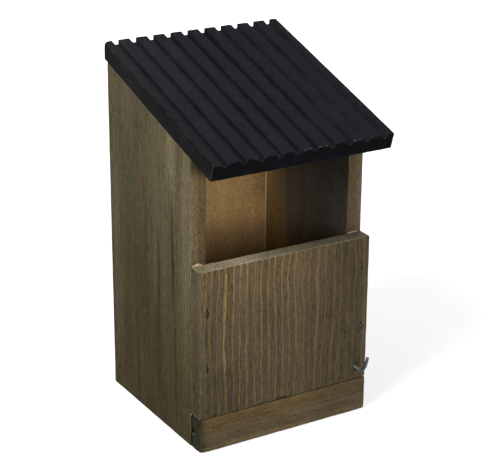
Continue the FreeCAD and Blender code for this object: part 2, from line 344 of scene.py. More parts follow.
class Wood(Shader):
    """Stained softwood; the order names the axes across the board, through it and along its grain."""

    def __init__(self, name, order, grit=1.2, fibrous=0.9, streaky=1.0):
        super().__init__(name)
        self.spot, self.facing = self.place(order)
        self.across, self.through, self.along = self.split(self.spot)
        self.grit = self.noise(self.spot, (0.8, 0.8, 1.9), 1.0)
        self.fine = self.noise(self.spot, (0.7, 0.7, 9.0), 2.0)
        self.fibres = self.noise(self.spot, (1.2, 1.2, 60.0), 2.0)
        self.specks = self.noise(self.spot, (1.2, 1.2, 3.0), 2.0)
        self.pores = self.noise(self.spot, (0.7, 0.7, 6.0), 3.0)
        self.streaks = self.noise(self.spot, (8.0, 8.0, 250.0), 1.0)
        self.blotches = self.noise(self.spot, (30.0, 30.0, 60.0))
        self.tone = self.blend(
            (self.grit, grit), (self.fine, 1.3), (self.fibres, fibrous),
            (self.streaks, 1.1 * streaky), (self.blotches, 0.8 * streaky))
        self.sawn = self.blend(
            (self.grit, 1.6), (self.fine, 0.7), (self.streaks, 0.5), (self.blotches, 0.8))

    def grain(self, dark, pale):
        """Colour of a planed face, from the darkest fibres to the palest."""
        return self.mix(self.tone, dark, pale)

    def sawn_grain(self, dark, pale):
        """Colour of a rough sawn face, more speckled and less streaked."""
        return self.mix(self.sawn, dark, pale)

    def rings(self, pith, ring, sway=2.0, shake=0.5):
        """Where in its growth ring each place lies, from 0 to 1, for uneven rings about a pith line.

        Each ring also gets a boldness of its own."""
        middle = (0.5, 0.5, 0.5)
        slow = self.vector("SUBTRACT", self.noise(self.spot, (38, 38, 70), output="Color"), middle)
        quick = self.vector("SUBTRACT", self.noise(self.spot, (6, 6, 20), output="Color"), middle)
        moved = self.vector("ADD", self.spot, self.vector("MULTIPLY", slow, (4 * sway, 4 * sway, 0)))
        moved = self.vector("ADD", moved, self.vector("MULTIPLY", quick, (4 * shake, 4 * shake, 0)))
        flat = self.vector("MULTIPLY", moved, (1, 1, 0))
        distance = self.node("ShaderNodeVectorMath", {0: flat, 1: (*pith, 0)}, operation="DISTANCE")
        count = self.math("DIVIDE", distance.outputs["Value"], ring)
        uneven = self.node(
            "ShaderNodeTexNoise", {"W": self.math("MULTIPLY", count, 0.7), "Scale": 1.0, "Detail": 0.0},
            noise_dimensions="1D").outputs["Fac"]
        count = self.math("ADD", count, self.math("MULTIPLY", uneven, 0.4))
        number = self.math("FLOOR", count)
        lot = self.node("ShaderNodeTexWhiteNoise", {"W": number}, noise_dimensions="1D").outputs["Value"]
        self.boldness = self.smooth(lot, 0.0, 1.0, 0.5, 0.9)
        return self.math("FRACT", count)

    def lined(self, color, phase, line, shadow, width, strength):
        """Late wood lines, broken along the grain, each with a darker band on both sides."""
        off_line = self.math("ABSOLUTE", self.math("SUBTRACT", phase, 0.5))
        line_mask = self.smooth(off_line, 0.1 * width, 0.8 * width, 1.0, 0.0)
        band = self.product(
            self.smooth(off_line, 0.3 * width, 0.8 * width),
            self.smooth(off_line, 0.9 * width, 0.45, 1.0, 0.0))
        broken = self.smooth(self.noise(self.spot, (0.9, 0.9, 3.5), 3.0), 0.33, 0.62, 0.2, 1.0)
        faint = self.smooth(self.noise(self.spot, (8, 8, 60)), 0.3, 0.66, 0.4, 1.0)
        patchy = self.product(self.boldness, faint)
        color = self.mix(self.product(band, patchy, strength, 0.7), color, shadow)
        return self.mix(self.product(line_mask, broken, patchy, strength), color, line)

    def toned(self, color, value, start, end, share):
        """Colour that turns into a share of itself between two places, with a wandering edge."""
        wander = self.product(self.math("SUBTRACT", self.blotches, 0.5), end - start)
        place = self.math("ADD", value, wander)
        return self.mix(self.smooth(place, start, end), color, share, "MULTIPLY")

    def patch(self, along, across):
        """Mask of a soft patch, from where it starts and is full along the grain and across it."""
        return self.product(self.smooth(self.along, *along), self.smooth(self.across, *across))

    def stain(self, color, across, low, high, half_width, tint, strength):
        """One long stain along the grain, at a place across the left-hand board."""
        wobble = self.product(self.math("SUBTRACT", self.noise(self.spot, (7, 7, 50)), 0.5), 5.0)
        offset = self.math("ABSOLUTE", self.math("ADD", self.math("SUBTRACT", self.across, across), wobble))
        soft_end = 0.3 * (high - low)
        mask = self.product(
            self.smooth(offset, 0.0, half_width, 1.0, 0.0),
            self.smooth(self.along, low - soft_end, low + soft_end),
            self.smooth(self.along, high - soft_end, high + soft_end, 1.0, 0.0),
            self.smooth(self.fibres, 0.3, 0.6, 0.4, 1.0),
            self.smooth(self.through, side_low.x, side_high.x, strength, 0.0))
        tinted = self.mix(self.tone, [0.5 * part for part in tint], [1.5 * part for part in tint])
        return self.mix(mask, color, tinted)

    def bare_inside(self, color, inner_face, bare):
        """Board whose inner face, at a distance from the middle of the box, was left unstained."""
        depth = self.math("ABSOLUTE", self.through)
        return self.mix(self.smooth(depth, inner_face + 1.5, inner_face + 4.0, 1.0, 0.0), color, bare)

    def edge_faces(self, color, edge):
        """Board with its own colour on its two narrow faces along the grain."""
        sideways = self.math("ABSOLUTE", self.split(self.facing)[0])
        return self.mix(self.smooth(sideways, 0.5, 0.85), color, edge)

    def end_grain(self, color, dark, pale):
        """Board with speckled end grain on the faces that cut across it."""
        cut = self.math("ABSOLUTE", self.split(self.facing)[2])
        self.ends = self.smooth(cut, 0.45, 0.8)
        tone = self.blend((self.pores, 2.0), (self.specks, 2.4), (self.blotches, 0.8))
        return self.mix(self.ends, color, self.mix(tone, dark, pale))

    def weathered(self, color, worn, relief=0.7):
        """Finished wood: rubbed pale by its wear, stained dark and painted with shade where the
        wear_and_shade attribute is below 0, with raised fibres.
        """
        wear_and_shade = self.wear_and_shade()
        scuffs = self.math("SUBTRACT", self.noise(self.spot, (1.3, 1.3, 3.5), 3.0), 0.5)
        color = self.mix(self.smooth(self.math("ADD", wear_and_shade, scuffs), 0.65, 1.15), color, worn)
        # grime_and_shade darkens real stains and dents, and also the shade painted into the wear_and_shade
        # attribute.
        grime_and_shade = self.smooth(self.math("ADD", wear_and_shade, scuffs), -0.75, -0.3, 1.0, 0.0)
        color = self.mix(grime_and_shade, color, (0.28, 0.25, 0.22), "MULTIPLY")
        self.link(color, "Base Color")
        height = self.math("ADD", self.fine, self.math("MULTIPLY", self.fibres, 0.8))
        height = self.math("ADD", height, self.math("MULTIPLY", self.grit, 0.5))
        height = self.math("ADD", height, self.product(self.specks, self.ends, 2.5))
        self.bump(height, 0.22, relief)
        self.link(self.smooth(self.fibres, 0.3, 0.7, 0.74, 0.9), "Roughness")
        return self.finish(0.82, 0.03)


def bare_grain(board, phase):
    """Colour of sawn wood that was left without stain inside the box."""
    color = board.sawn_grain((0.32, 0.19, 0.075), (0.64, 0.4, 0.175))
    return board.lined(color, phase, (0.42, 0.24, 0.09), (0.36, 0.22, 0.09), 0.25, 0.35)


def inside_of_side(board, phase):
    """Inner face of a side: bare at the back, and stained dark at the opening; the stained part has painted
    light lower down and painted shade towards the front.
    """
    wander = board.product(board.math("SUBTRACT", board.noise(board.spot, (5, 5, 60)), 0.5), 16.0)
    lean = board.smooth(board.along, 105.0, 160.0, 0.0, 12.0)
    edge_place = board.math("SUBTRACT", board.math("ADD", board.across, wander), lean)
    towards_back = board.smooth(edge_place, 5.0, 34.0)
    upper = board.sawn_grain((0.03, 0.0245, 0.018), (0.085, 0.069, 0.051))
    # Painted light: the stained part is paler lower down.
    lower_with_painted_light = board.sawn_grain((0.112, 0.09, 0.066), (0.262, 0.21, 0.155))
    stain_and_shade = board.mix(board.smooth(board.along, 195.0, 130.0), upper, lower_with_painted_light)
    # Painted shade: the stained part darkens towards the front.
    stain_and_shade = board.toned(stain_and_shade, board.across, 15.0, -35.0, (0.62, 0.67, 0.75))
    dulled = board.mix(1.0, bare_grain(board, phase), (0.84, 0.94, 0.95), "MULTIPLY")
    return board.mix(towards_back, stain_and_shade, dulled)


def side_edges(board):
    """Colour of the sides' narrow edges: paler on their outer half, with a painted shadow under the roof at
    the front.
    """
    color = board.sawn_grain((0.064, 0.046, 0.0235), (0.193, 0.139, 0.073))
    from_middle = board.math("ABSOLUTE", board.through)
    color = board.toned(color, from_middle, 66.0, 63.0, (0.75, 0.73, 0.7))
    color = board.toned(color, from_middle, 67.0, 69.0, (1.18, 1.2, 1.2))
    # Painted shadow of the roof at the top of the front edges.
    roof_shadow_band = board.patch((199.0, 209.0), (0.0, -20.0))
    color = board.mix(roof_shadow_band, color, (0.45, 0.45, 0.45), "MULTIPLY")
    color = board.toned(color, board.across, 20.0, 50.0, (0.95, 1.02, 1.05))
    return board.toned(color, board.through, 40.0, 60.0, (0.98, 0.99, 1.18))


def side_wood():
    """Olive brown side boards: darker near the ground, which is painted shade, and near the back, stained
    inside towards the opening.
    """
    board = Wood("side_wood", "yxz", grit=0.9, fibrous=0.8, streaky=0.5)
    phase = board.rings((30.0, 240.0), 8.0)
    color = board.grain((0.035, 0.029, 0.014), (0.166, 0.138, 0.078))
    color = board.lined(color, phase, (0.13, 0.1, 0.05), (0.05, 0.04, 0.022), 0.3, 0.3)
    rust, soot, slate = (0.1, 0.045, 0.022), (0.026, 0.021, 0.011), (0.05, 0.047, 0.034)
    straw, bleached = (0.17, 0.142, 0.08), (0.17, 0.145, 0.095)
    stains = [
        (-53.0, 60.0, 200.0, 15.0, straw, 0.8),
        (-33.0, 180.0, 230.0, 16.0, straw, 0.8),
        (-22.0, 45.0, 135.0, 8.0, bleached, 0.35),
        (54.0, 35.0, 165.0, 14.0, bleached, 0.85),
        (32.0, 110.0, 200.0, 16.0, soot, 0.34),
        (7.2, 163.0, 186.0, 2.2, rust, 1.0),
        (5.0, 110.0, 165.0, 4.5, soot, 0.45),
        (12.0, 85.0, 150.0, 12.0, slate, 0.45),
        (-34.5, 100.0, 175.0, 3.6, soot, 1.0),
        (-13.4, 85.0, 140.0, 3.0, soot, 0.8),
        (-11.0, 20.0, 95.0, 7.0, slate, 0.8),
        (-37.6, 12.0, 95.0, 1.8, soot, 0.75),
    ]
    for across, low, high, half_width, tint, strength in stains:
        color = board.stain(color, across, low, high, half_width, tint, strength)
    # Painted shade: darker towards the ground.
    color = board.toned(color, board.along, 190.0, 50.0, (0.6, 0.57, 0.5))
    color = board.toned(color, board.across, -45.0, 20.0, (0.88, 0.88, 0.9))
    color = board.bare_inside(color, -side_high.x, inside_of_side(board, phase))
    color = board.edge_faces(color, side_edges(board))
    color = board.end_grain(color, (0.05, 0.042, 0.025), (0.13, 0.11, 0.07))
    return board.weathered(color, (0.17, 0.145, 0.095))


def front_wood():
    """Front panel with many ochre lines, closer together on the left and fainter on the right."""
    board = Wood("front_wood", "xyz", fibrous=0.5, streaky=0.55)
    phase = board.rings((170.0, 40.0), 4.9, sway=1.8, shake=0.6)
    color = board.grain((0.036, 0.0285, 0.018), (0.13, 0.101, 0.06))
    strength = board.product(
        board.smooth(board.across, panel_low.x, panel_high.x, 1.15, 0.55),
        board.smooth(board.across, panel_low.x + 1.5, panel_low.x + 6.0, 0.2, 1.0))
    color = board.lined(color, phase, (0.235, 0.153, 0.05), (0.048, 0.038, 0.026), 0.31, strength)
    color = board.toned(color, board.across, -5.0, 50.0, (0.82, 0.81, 0.83))
    color = board.toned(color, board.along, 85.0, 40.0, (0.95, 0.95, 0.95))
    lower_left = board.patch((78.0, 50.0), (-18.0, -40.0))
    color = board.mix(lower_left, color, (0.84, 0.84, 0.86), "MULTIPLY")
    upper_left = board.patch((85.0, 132.0), (50.0, 15.0))
    color = board.mix(upper_left, color, (1.38, 1.3, 1.2), "MULTIPLY")
    color = board.bare_inside(color, -panel_high.y, bare_grain(board, phase))
    edge = board.sawn_grain((0.042, 0.034, 0.019), (0.152, 0.123, 0.069))
    color = board.edge_faces(color, board.toned(edge, board.along, 115.0, 80.0, (0.72, 0.71, 0.68)))
    color = board.end_grain(color, (0.13, 0.11, 0.073), (0.52, 0.44, 0.295))
    right_end = board.product(board.ends, board.smooth(board.across, -30.0, 45.0))
    color = board.mix(right_end, color, (0.48, 0.47, 0.48), "MULTIPLY")
    left_end = board.product(board.ends, board.smooth(board.across, panel_low.x + 11.0, panel_low.x + 3.0))
    color = board.mix(left_end, color, (0.68, 0.69, 0.62), "MULTIPLY")
    return board.weathered(color, (0.17, 0.13, 0.075))


def batten_wood():
    """Warm brown batten, more ochre along its upper half, with dark end grain."""
    board = Wood("batten_wood", "zyx", fibrous=0.7, streaky=0.8)
    phase = board.rings((80.0, -40.0), 9.0, sway=1.2)
    color = board.grain((0.042, 0.0315, 0.019), (0.138, 0.103, 0.061))
    color = board.lined(color, phase, (0.13, 0.088, 0.036), (0.05, 0.038, 0.022), 0.4, 0.5)
    ochre = board.grain((0.06, 0.039, 0.015), (0.15, 0.102, 0.043))
    upper = board.smooth(board.math("ADD", board.across, board.product(board.streaks, 10.0)), 16.0, 24.0)
    color = board.mix(board.product(upper, 0.8), color, ochre)
    color = board.toned(color, board.along, -60.0, -69.0, (0.8, 0.82, 0.84))
    color = board.toned(color, board.along, -65.5, -69.5, (0.62, 0.66, 0.66))
    color = board.toned(color, board.along, 15.0, 40.0, (0.8, 0.82, 0.9))
    foot = board.patch((-55.0, -42.0), (8.0, 3.0))
    color = board.mix(foot, color, (1.3, 1.3, 1.2), "MULTIPLY")
    color = board.end_grain(color, (0.009, 0.009, 0.0054), (0.043, 0.042, 0.024))
    return board.weathered(color, (0.12, 0.088, 0.046))


def back_wood():
    """Back board: olive brown outside, bare inside, with painted shade at the inside's upper right and
    painted light across its middle.
    """
    board = Wood("back_wood", "xyz")
    phase = board.rings((40.0, 210.0), 8.0)
    color = board.grain((0.05, 0.041, 0.022), (0.15, 0.124, 0.075))
    color = board.lined(color, phase, (0.11, 0.085, 0.045), (0.05, 0.04, 0.022), 0.3, 0.4)
    color = board.toned(color, board.along, 190.0, 60.0, (0.7, 0.68, 0.62))
    bare = bare_grain(board, phase)
    # Painted shade at the inside's upper right, under the roof.
    shaded_upper_right = board.patch((112.0, 140.0), (34.0, 54.0))
    bare = board.mix(shaded_upper_right, bare, (0.6, 0.59, 0.55), "MULTIPLY")
    # Painted light across the middle of the inside.
    middle = board.product(board.smooth(board.along, 104.0, 122.0), board.smooth(board.along, 140.0, 126.0))
    bare = board.mix(middle, bare, (1.24, 1.22, 1.15), "MULTIPLY")
    corner = board.smooth(board.across, back_high.x - 1.2, back_high.x - 0.5)
    bare = board.mix(corner, bare, (0.58, 0.43, 0.22))
    color = board.bare_inside(color, back_low.y, bare)
    color = board.end_grain(color, (0.05, 0.042, 0.025), (0.13, 0.11, 0.07))
    return board.weathered(color, (0.17, 0.145, 0.095))


def floor_wood():
    """Floor board of unstained wood, dulled by use."""
    board = Wood("floor_wood", "yzx")
    phase = board.rings((20.0, 150.0), 7.0)
    color = board.grain((0.11, 0.078, 0.042), (0.24, 0.175, 0.1))
    color = board.lined(color, phase, (0.17, 0.11, 0.055), (0.1, 0.07, 0.04), 0.3, 0.6)
    color = board.end_grain(color, (0.08, 0.06, 0.035), (0.18, 0.14, 0.09))
    return board.weathered(color, (0.26, 0.2, 0.12))


def dowel_wood():
    """Bare beech with short flecks."""
    board = Wood("dowel_wood", "xzy")
    color = board.grain((0.38, 0.26, 0.15), (0.62, 0.47, 0.3))
    color = board.end_grain(color, (0.3, 0.2, 0.11), (0.5, 0.37, 0.23))
    return board.weathered(color, (0.65, 0.5, 0.33), 0.4)


def torn_wood(name, dark, pale):
    """Fibres torn out of the surface, still without stain."""
    board = Wood(name, "xyz")
    color = board.grain(dark, pale)
    color = board.end_grain(color, dark, pale)
    return board.weathered(color, pale, 1.0)


def roof_paint():
    """Matte black paint on a rough board, thin and chipped along its arrises, with painted light on the
    groove floors and walls, and painted shade at the walls' feet, on the sawn ends and on the outer faces.
    """
    shader = Shader("roof_paint")
    place, normal = shader.place("xzy")
    grit = shader.noise(place, (0.6, 0.6, 0.9), 2.0)
    fibres = shader.noise(place, (0.9, 0.9, 16), 4.0)
    patches = shader.noise(place, (16, 16, 24), 3.0)
    tone = shader.blend((grit, 1.4), (fibres, 1.2), (patches, 1.2))
    color = shader.mix(tone, (0.0077, 0.0077, 0.0097), (0.0212, 0.0212, 0.0256))
    across, _, along = shader.split(place)
    far_left = shader.product(shader.smooth(across, 0.0, -62.0), shader.smooth(along, -45.0, 30.0))
    color = shader.mix(far_left, color, (1.35, 1.35, 1.3), "MULTIPLY")
    color = shader.mix(shader.smooth(across, -20.0, 40.0), color, (0.88, 0.88, 0.9), "MULTIPLY")
    facing = shader.split(normal)
    # The sawn ends get a mottled end-grain tone, darkened further with painted shade.
    sawn_end = shader.smooth(shader.math("ABSOLUTE", facing[2]), 0.6, 0.9)
    sawn_mottle = shader.blend((grit, 2.2), (patches, 1.6))
    sawn_grain_and_shade = shader.mix(sawn_mottle, (0.05, 0.05, 0.06), (0.38, 0.38, 0.44))
    color = shader.mix(sawn_end, color, sawn_grain_and_shade, "MULTIPLY")
    sideways = shader.smooth(shader.math("ABSOLUTE", facing[0]), 0.2, 0.9)
    off_middle = shader.math("ABSOLUTE", shader.math("SUBTRACT", across, roof_middle))
    outermost = shader.smooth(off_middle, roof_half_width - 2.5, roof_half_width - 1.0)
    # The outer faces get a mottled sawn-edge tone, darkened with painted shade that also covers the rounded
    # upper arris.
    side_mottle = shader.blend((grit, 1.6), (patches, 2.2))
    outer_mottle_and_shade = shader.mix(side_mottle, (0.2, 0.2, 0.17), (0.77, 0.76, 0.66))
    wear_and_shade = shader.wear_and_shade()
    # Painted light: the groove floors are lightened, more towards the right, against the shadow of the
    # ridges.
    groove_floor_light = shader.product(
        shader.smooth(wear_and_shade, -0.08, -0.16), shader.math("SUBTRACT", 1.0, sideways),
        shader.smooth(across, -60.0, 60.0, 0.2, 1.0))
    color = shader.mix(groove_floor_light, color, (1.4, 1.4, 1.4), "MULTIPLY")
    # Painted shade at the foot of each groove wall, and painted light on the walls themselves, more towards
    # the right.
    groove_foot_shade = shader.product(shader.smooth(wear_and_shade, -0.45, -0.75), shader.smooth(across, 55.0, -5.0))
    wall_light_and_foot_shade = shader.mix(shader.smooth(across, 0.0, 60.0), (1.05, 1.05, 1.05), (1.5, 1.5, 1.54))
    wall_light_and_foot_shade = shader.mix(groove_foot_shade, wall_light_and_foot_shade, (0.4, 0.4, 0.42))
    color = shader.mix(sideways, color, shader.mix(outermost, wall_light_and_foot_shade, outer_mottle_and_shade), "MULTIPLY")
    specks = shader.math("SUBTRACT", shader.noise(place, (0.9, 0.9, 1.6), 2.0), 0.5)
    thin = shader.smooth(shader.math("ADD", wear_and_shade, specks), 0.45, 1.0)
    color = shader.mix(thin, color, (0.03, 0.028, 0.026))
    chipped = shader.smooth(shader.math("ADD", wear_and_shade, specks), 1.0, 1.12)
    color = shader.mix(chipped, color, (0.09, 0.085, 0.08))
    shader.link(color, "Base Color")
    relief = shader.math("ADD", fibres, shader.math("MULTIPLY", grit, 0.7))
    shader.bump(relief, 0.25, 0.6)
    shader.link(shader.smooth(patches, 0.3, 0.7, 0.7, 0.85), "Roughness")
    return shader.finish(0.78, 0.03)


def zinc_tone(shader, place, roughness):
    """Clouding from 0 to 1 with fine scratches, which also roughen the zinc."""
    clouds = shader.noise(place, (3.0, 3.0, 3.0), 4.0)
    scratches = shader.noise(place, (0.25, 0.25, 4.0), 2.0)
    tone = shader.blend((clouds, 1.2), (scratches, 0.8))
    shader.link(shader.smooth(tone, 0.2, 0.8, roughness + 0.08, roughness - 0.08), "Roughness")
    shader.bump(scratches, 0.04, 0.3)
    return tone


def zinc_wire():
    """Dull zinc on the hook, painted lit and shaded: pale grey on its shank, dark blue grey on its arm,
    which is also more metallic.
    """
    shader = Shader("zinc_wire")
    place = shader.place("xyz")[0]
    tone = zinc_tone(shader, place, 0.3)
    # Lit and shaded copies of the same zinc: the shank painted pale as if lit, the arm painted dark as if
    # shaded.
    lit_shank = shader.mix(tone, (0.11, 0.118, 0.104), (0.24, 0.253, 0.225))
    shaded_arm = shader.mix(tone, (0.03, 0.033, 0.037), (0.08, 0.087, 0.094))
    bend_start = hook_place.y - HOOK_REACH + HOOK_BEND
    shaded_arm_mask = shader.smooth(shader.split(place)[1], bend_start, bend_start - 5.5)
    shader.link(shader.mix(shaded_arm_mask, lit_shank, shaded_arm), "Base Color")
    shader.link(shader.smooth(shaded_arm_mask, 0.5, 1.0, 0.25, 0.65), "Metallic")
    return shader.finish(0.3, 0.4, 0.65)


def zinc_plate():
    """Bright zinc on the hanger plate and its screws."""
    shader = Shader("zinc_plate")
    place = shader.place("xyz")[0]
    tone = zinc_tone(shader, place, 0.38)
    shader.link(shader.mix(tone, (0.42, 0.43, 0.44), (0.62, 0.63, 0.64)), "Base Color")
    return shader.finish(0.38, 0.3, 0.9)


def brad_steel():
    """Nail steel darkened by wood stain."""
    shader = Shader("brad_steel")
    place = shader.place("xyz")[0]
    stain = shader.noise(place, (0.6, 0.6, 0.6), 3.0)
    color = shader.mix(shader.smooth(stain, 0.35, 0.65), (0.012, 0.01, 0.008), (0.05, 0.042, 0.032))
    shader.link(color, "Base Color")
    shader.bump(stain, 0.1, 0.5)
    return shader.finish(0.6, 0.3, 0.5)


side_material = side_wood()
front_material = front_wood()
batten_material = batten_wood()
back_material = back_wood()
floor_material = floor_wood()
dowel_material = dowel_wood()
crumb_material = torn_wood("crumb_wood", (0.3, 0.22, 0.11), (0.62, 0.5, 0.3))
splinter_material = torn_wood("splinter_wood", (0.1, 0.07, 0.034), (0.26, 0.19, 0.1))
fibre_material = torn_wood("fibre_wood", (0.16, 0.14, 0.1), (0.38, 0.34, 0.26))
sliver_material = torn_wood("sliver_wood", (0.065, 0.059, 0.04), (0.15, 0.138, 0.1))
paint_material = roof_paint()
wire_material = zinc_wire()
plate_material = zinc_plate()
brad_material = brad_steel()


# Boards

def board_wear(points, low, high, seed=0.0):
    """How worn each point is: most at the arrises, unevenly along them."""
    return [fade(edge_distance(point, low, high), 2.2) * (0.7 + 0.45 * rough(point, 9.0, seed))
            for point in points]


def nearest_nail(point, places, stretch=1.0):
    """Distance on the front face from a point to the nearest of some nails, shortened along the grain."""
    return min(math.hypot(point.x - x, (point.z - z) / stretch) for x, z in places)


def build_front_panel():
    """Front panel with softened, uneven arrises, a dark dent round each brad and the hook, and a painted
    shadow below the hook.
    """
    low, high = panel_low, panel_high
    holes = panel_brads + [[hook_place.x, hook_place.z]]
    # Middle of the painted shadow below the hook.
    hook_shadow_x = hook_place.x + 1.8
    hook_shadow_z = hook_place.z - 2.4
    xs = stations(low.x, high.x, close=[x for x, z in holes])
    zs = stations(low.z, high.z, close=[z for x, z in holes])
    points, faces = lattice(xs, stations(low.y, high.y), zs)
    wear_and_shade = board_wear(points, low, high)
    top_left = Vector((low.x, low.y, high.z))
    shaped = []
    for index, point in enumerate(points):
        corner = fade((point - top_left).length, 14.0)
        foot = fade(point.z - low.z, 3.2)
        left_arris = fade(math.hypot(point.x - low.x, point.y - low.y), 5.0)
        radius = 1.1 + 0.5 * rough(point, 8.0, 3.0) + 0.8 * corner + 0.7 * left_arris
        moved = soften(point, low, high, radius)
        if abs(point.y - low.y) < STEP_GAP:
            hole = nearest_nail(point, holes)
            torn = nearest_nail(point, panel_brads, 3.5)
            # The dent stains are real; the hook's shadow is painted shade.
            hook_shadow = fade(math.hypot(point.x - hook_shadow_x, point.z - hook_shadow_z), 3.6)
            moved.y += DENT_DEPTH * fade(hole, DENT_REACH) + 0.25 * fade(torn, 1.6)
            stain_and_shade = max(fade(hole, DENT_STAIN_REACH), fade(torn, 1.8), 0.8 * hook_shadow)
            wear_and_shade[index] -= DENT_STAIN * stain_and_shade
            towards_right = fade(high.x - point.x, 50.0)
            wear_and_shade[index] -= (1.1 - 0.8 * towards_right) * foot * (0.7 + 0.9 * rough(point, 5.0, 4.0))
        shaped.append(moved)
    make_piece(
        "front_panel_board", shaped, faces, front_material, "box", ["front_panel"], wear_and_shade)


def build_batten():
    """Batten with rounded lower corners, thicker ends that reach into the sides' trimmed feet, a worn back
    arris and a notch torn out at its left end; the back arris and the notch get painted shade."""
    low, high = batten_low, batten_high
    notch_y = high.y - NOTCH_FROM_BACK
    xs = stations(low.x, high.x, steps=[low.x + THICK_END, high.x - THICK_END])
    ys = stations(low.y, high.y, close=[notch_y])
    zs = stations(low.z, high.z, close=[NOTCH_HEIGHT])
    points, faces = lattice(xs, ys, zs)
    wear_and_shade = board_wear(points, low, high, 2.0)
    thickened = 1.0 + (FOOT_TRIM - STEP_GAP) / (high.y - low.y)
    shaped = []
    for index, point in enumerate(points):
        back_arris = fade(math.hypot(point.x - low.x, point.y - high.y), 4.0)
        front_arris = fade(math.hypot(point.x - low.x, point.y - low.y), 5.0)
        radius = 0.9 + 0.35 * rough(point, 10.0, 7.0) + 0.4 * fade(point.z - low.z, 6.0)
        moved = soften(point, low, high, radius + 0.4 * back_arris + 1.0 * front_arris)
        if min(point.x - low.x, high.x - point.x) < THICK_END:
            moved.y = low.y + (moved.y - low.y) * thickened
        torn = fade(math.hypot(0.75 * (point.y - notch_y), point.z - NOTCH_HEIGHT), 2.3)
        torn *= fade(point.x - low.x, 1.0)
        moved.x += 2.0 * torn
        shaped.append(moved)
        seam = fade(high.z - point.z, 1.8) * (0.9 + 0.7 * rough(point, 6.0, 5.0))
        right_arris = fade(high.x - point.x, 1.2)
        # Painted shade on the back arris in the slit and in the torn notch; the seam is a dark joint and the
        # right end is darkened.
        wear_and_shade[index] -= 1.5 * back_arris + 2.5 * torn + 0.9 * seam + 1.2 * right_arris
    make_piece(
        "base_batten_strip", shaped, faces, batten_material, "base", ["base_batten"], wear_and_shade)


def build_side(name, low, high, inner, nodes):
    """Side board with a sloping top, the groove for the floor's tongue and its front edge trimmed behind the
    batten, with painted shade on the trimmed part; its upper brads are filled over."""
    outer = low.x if inner == high.x else high.x
    inward = 1.0 if inner > outer else -1.0
    groove_share = 1.0 - TONGUE_DEPTH / (high.x - low.x)
    top = roof_underside(low.y)
    lift = 40.0  # from here up the board stretches to the slope
    brad_y, brad_z = shown_side_brad
    ys = stations(low.y, high.y, close=[brad_y], steps=[back_low.y])
    zs = stations(low.z, top, close=[brad_z], steps=[TONGUE_BOTTOM, TONGUE_TOP, batten_high.z])
    points, faces = lattice(stations(low.x, high.x), ys, zs)
    box_high = Vector((high.x, high.y, top))
    wear_and_shade = board_wear(points, low, box_high, 4.0)
    shaped = []
    for index, point in enumerate(points):
        radius = 0.7 + 0.3 * rough(point, 12.0, 11.0)
        moved = soften(point, low, box_high, radius)
        if TONGUE_BOTTOM < point.z < TONGUE_TOP and point.y < back_low.y:
            moved.x = outer + (moved.x - outer) * groove_share
        if point.z < batten_high.z:
            moved.y += FOOT_TRIM * (high.y - moved.y) / (high.y - low.y)
            # Painted shade on the trimmed front face, in the slit behind the batten.
            wear_and_shade[index] -= 1.1 * fade(point.y - low.y, 1.5)
        if point.z > lift:
            moved.z = lift + (moved.z - lift) * (roof_underside(point.y) - lift) / (top - lift)
        if abs(point.x - outer) < STEP_GAP:
            hole = math.hypot(moved.y - brad_y, moved.z - brad_z)
            moved.x += inward * DENT_DEPTH * fade(hole, DENT_REACH)
            wear_and_shade[index] -= DENT_STAIN * fade(hole, DENT_STAIN_REACH)
        shaped.append(moved)
    make_piece(name, shaped, faces, side_material, "box", nodes, wear_and_shade)


def groove_starts():
    """Left edge of each groove in the roof."""
    first = roof_low.x + LEFT_RIDGE
    last = roof_high.x - RIGHT_RIDGE - GROOVE_WIDTH
    return [first + (last - first) * index / (GROOVE_COUNT - 1) for index in range(GROOVE_COUNT)]


